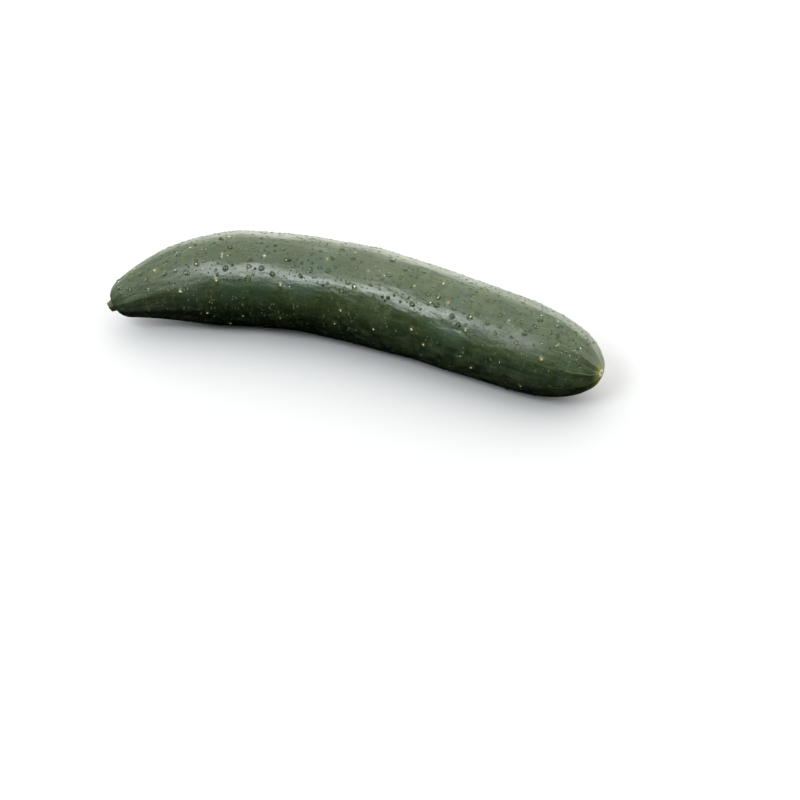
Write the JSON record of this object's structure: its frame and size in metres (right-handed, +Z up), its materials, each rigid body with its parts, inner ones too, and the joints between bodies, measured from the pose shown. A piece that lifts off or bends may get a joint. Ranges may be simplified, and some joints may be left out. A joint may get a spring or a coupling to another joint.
{
  "type": "slicing cucumber",
  "caption": "A whole dark green cucumber, gently bent, lying on its side, with faint ribs, small warts, a dried stem scar and a small blossom scar.",
  "frame": {"origin": "on the surface that it lies on, under the middle of its bounding box", "axes": "+X from the stem end to the blossom end, +Y to the outer side of its bend, +Z up"},
  "size_m": [0.2478, 0.0676, 0.0485],
  "materials": {
    "cucumber_skin": "waxy, slightly glossy dark green skin"
  },
  "bodies": {
    "root": {"cucumber": "cucumber_skin"}
  },
  "joints": []
}
